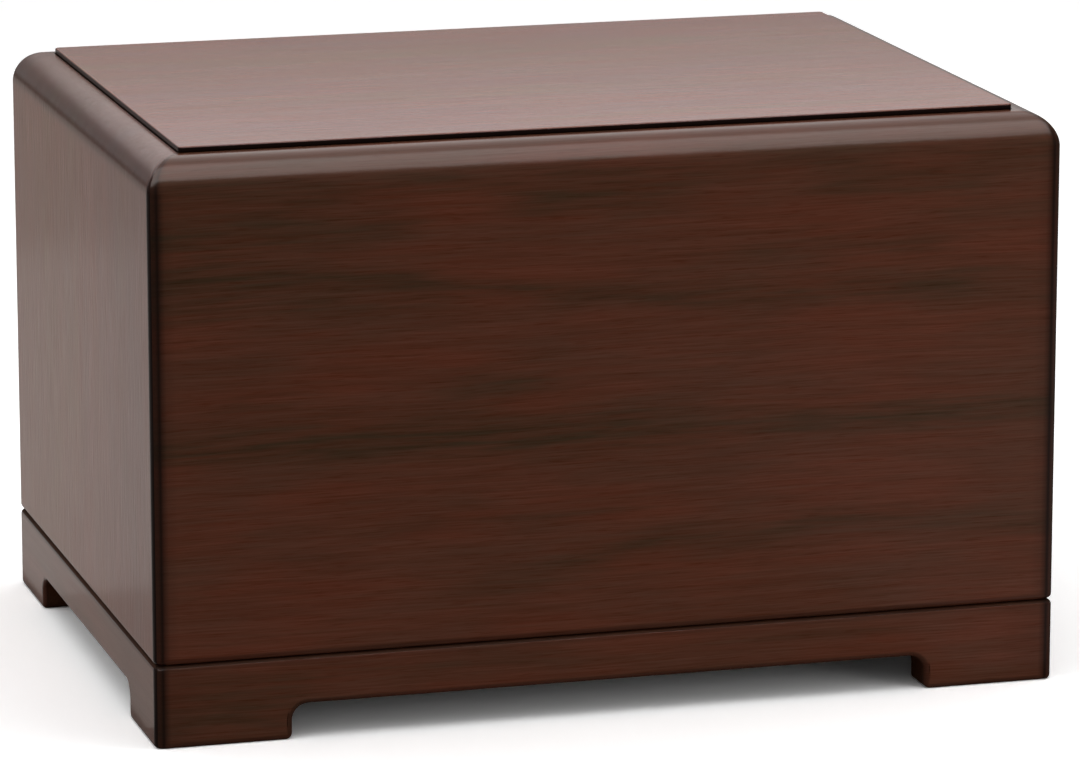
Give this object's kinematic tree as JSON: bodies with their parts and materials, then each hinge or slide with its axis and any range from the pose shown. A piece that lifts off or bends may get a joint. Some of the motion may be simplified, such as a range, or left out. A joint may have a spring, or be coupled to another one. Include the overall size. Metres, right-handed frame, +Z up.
{
  "type": "wooden cremation urn box",
  "caption": "Rectangular dark walnut chest with a rounded rim, a flat lift-off lid let into it and a flush plinth with bracket feet, for keeping ashes.",
  "frame": {"origin": "middle of the underside of the feet, on the surface that the box stands on", "axes": "+X to the box's right as seen from the front, the long way; the front faces -Y; +Z up, the short way"},
  "size_m": [0.285, 0.206, 0.1803],
  "materials": {
    "walnut_lid": "dark walnut stain under satin lacquer",
    "walnut_case": "dark walnut stain under satin lacquer",
    "walnut_plinth": "dark walnut stain under satin lacquer",
    "walnut_floor": "brown stain, matt sealed"
  },
  "bodies": {
    "root": {"lid": "walnut_lid", "wall_front": "walnut_case", "wall_back": "walnut_case", "wall_left": "walnut_case", "wall_right": "walnut_case", "floor_board": "walnut_floor", "plinth_front": "walnut_plinth", "plinth_back": "walnut_plinth", "plinth_left": "walnut_plinth", "plinth_right": "walnut_plinth"}
  },
  "joints": []
}
